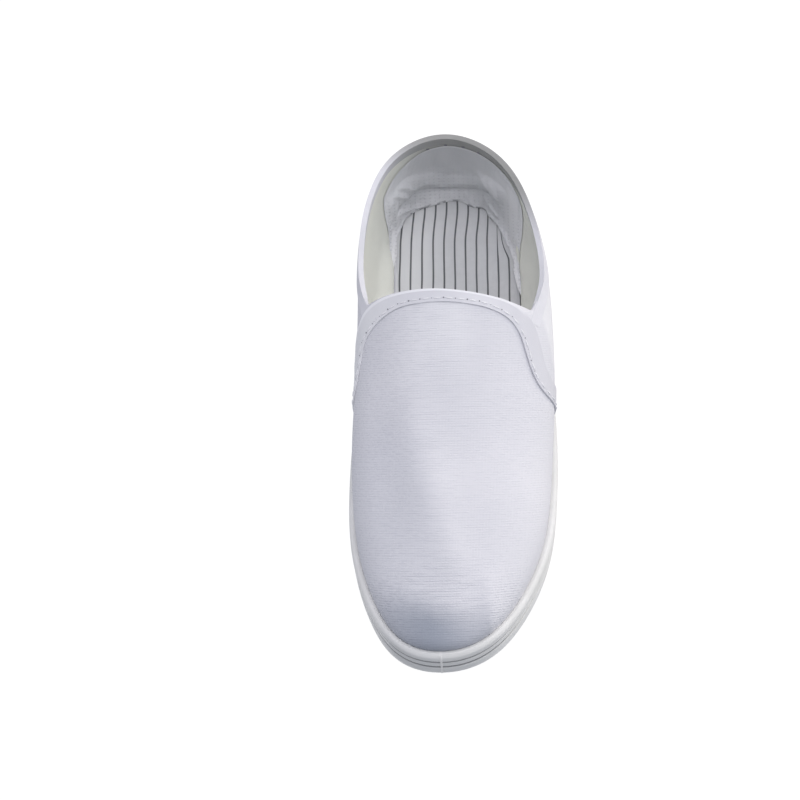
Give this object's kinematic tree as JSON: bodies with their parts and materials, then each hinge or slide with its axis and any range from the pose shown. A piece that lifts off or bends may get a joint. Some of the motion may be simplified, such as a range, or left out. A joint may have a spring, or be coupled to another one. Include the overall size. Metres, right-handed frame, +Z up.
{
  "type": "anti-static canvas work shoe",
  "caption": "White slip-on anti-static canvas work shoe, left foot, on a cream moulded cup sole with grooved sides, a sewn strip along the throat and a grey inlay with dark conductive lines.",
  "frame": {"origin": "on the floor, under the middle of the shoe's box", "axes": "+Z up, the toe to -Y, the outer side of the foot to +X"},
  "size_m": [0.0928, 0.25, 0.0716],
  "materials": {
    "sole": "satin",
    "canvas": "woven",
    "inlay": "woven",
    "strip": "smooth",
    "tape": "smooth"
  },
  "bodies": {
    "root": {"outsole": "sole", "upper": "canvas", "insole": "inlay", "vamp_band": "strip", "collar_binding": "tape"}
  },
  "joints": []
}
